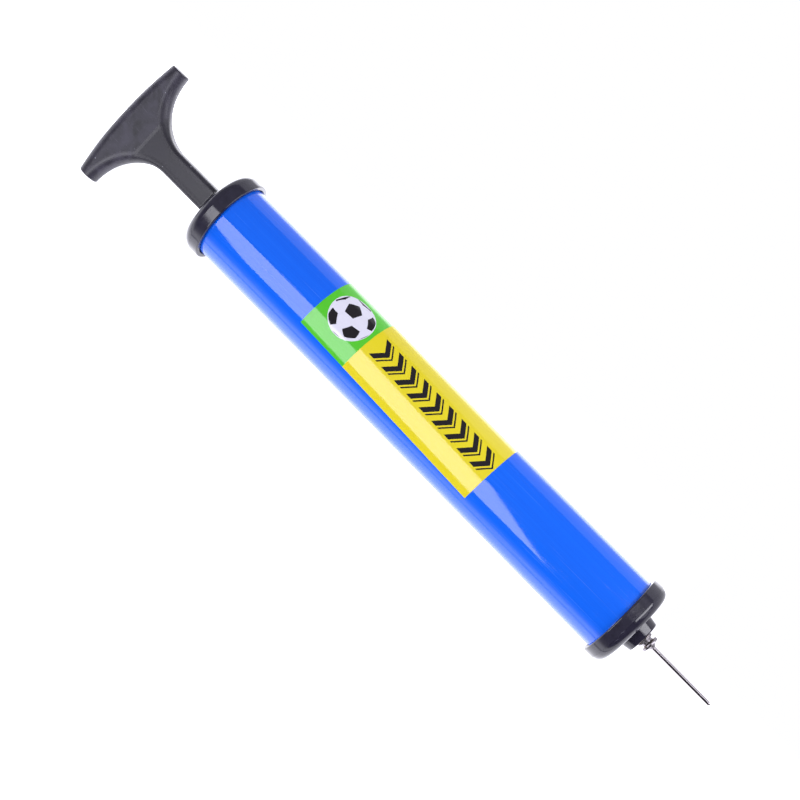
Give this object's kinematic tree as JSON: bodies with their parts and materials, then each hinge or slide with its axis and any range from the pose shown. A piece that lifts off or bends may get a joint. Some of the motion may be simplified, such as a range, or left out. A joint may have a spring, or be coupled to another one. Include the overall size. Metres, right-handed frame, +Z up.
{
  "type": "ball inflation pump",
  "caption": "Hand pump for balls: round tube with two end caps, a T handle on a sliding rod, a cup piston and check valve inside, and a screw-in inflation needle.",
  "frame": {"origin": "on the surface that the pump lies on, under the middle of its overall box", "axes": "+X along the pump from the handle to the needle, +Z up from the surface, +Y across, along the T handle's bar"},
  "size_m": [0.3404, 0.059, 0.0397],
  "materials": {
    "blue_tube": "glossy, with fine scuffs along the tube",
    "label": "printed glossy film, green and yellow",
    "black_cap": "moulded, glossy",
    "black_handle": "moulded, semi-matte, scuffed",
    "white_plastic": "moulded nylon",
    "black_rubber": "matte",
    "plated_steel": "bright zinc plate",
    "nickel": "nickel plate",
    "brass": "turned"
  },
  "bodies": {
    "barrel": {"barrel_tube": "blue_tube", "label_sticker": "label", "handle_end_cap": "black_cap", "needle_end_cap": "black_cap", "rod_guide_bush": "white_plastic", "stop_bumper": "black_rubber", "barrel_gasket": "black_rubber", "outlet_nozzle": "black_cap", "valve_seat": "white_plastic", "nozzle_gasket": "black_rubber", "thread_insert": "brass"},
    "piston": {"piston_backing_disc": "white_plastic", "piston_cup": "black_rubber", "piston_front_washer": "plated_steel"},
    "handle_and_rod": {"handle": "black_handle", "piston_rod": "plated_steel", "piston_rear_nut": "plated_steel", "piston_front_nut": "plated_steel"},
    "check_valve": {"check_valve_disc": "black_rubber"},
    "needle_washer": {"needle_washer": "nickel"},
    "needle": {"needle_base": "nickel", "needle_tube": "nickel"}
  },
  "joints": [
    {"name": "pump_stroke", "type": "slide", "parent": "barrel", "child": "piston", "axis": [-1, 0, 0], "range_m": [0, 0.204]},
    {"name": "handle_turn", "type": "hinge", "parent": "piston", "child": "handle_and_rod", "pos_m": [0, 0, 0.01985], "axis": [1, 0, 0], "continuous": true},
    {"name": "valve_lift", "type": "slide", "parent": "barrel", "child": "check_valve", "axis": [1, 0, 0], "range_m": [0, 0.001]},
    {"name": "needle_advance", "type": "slide", "parent": "barrel", "child": "needle_washer", "axis": [1, 0, 0], "range_m": [0, 0.00556]},
    {"name": "needle_turn", "type": "hinge", "parent": "needle_washer", "child": "needle", "pos_m": [0.15, 0, 0.01985], "axis": [1, 0, 0], "range_deg": [0, 2520]}
  ],
  "couplings": [
    {"joint": "needle_turn", "follows": "needle_advance", "rad_per_m": 7915.8}
  ]
}
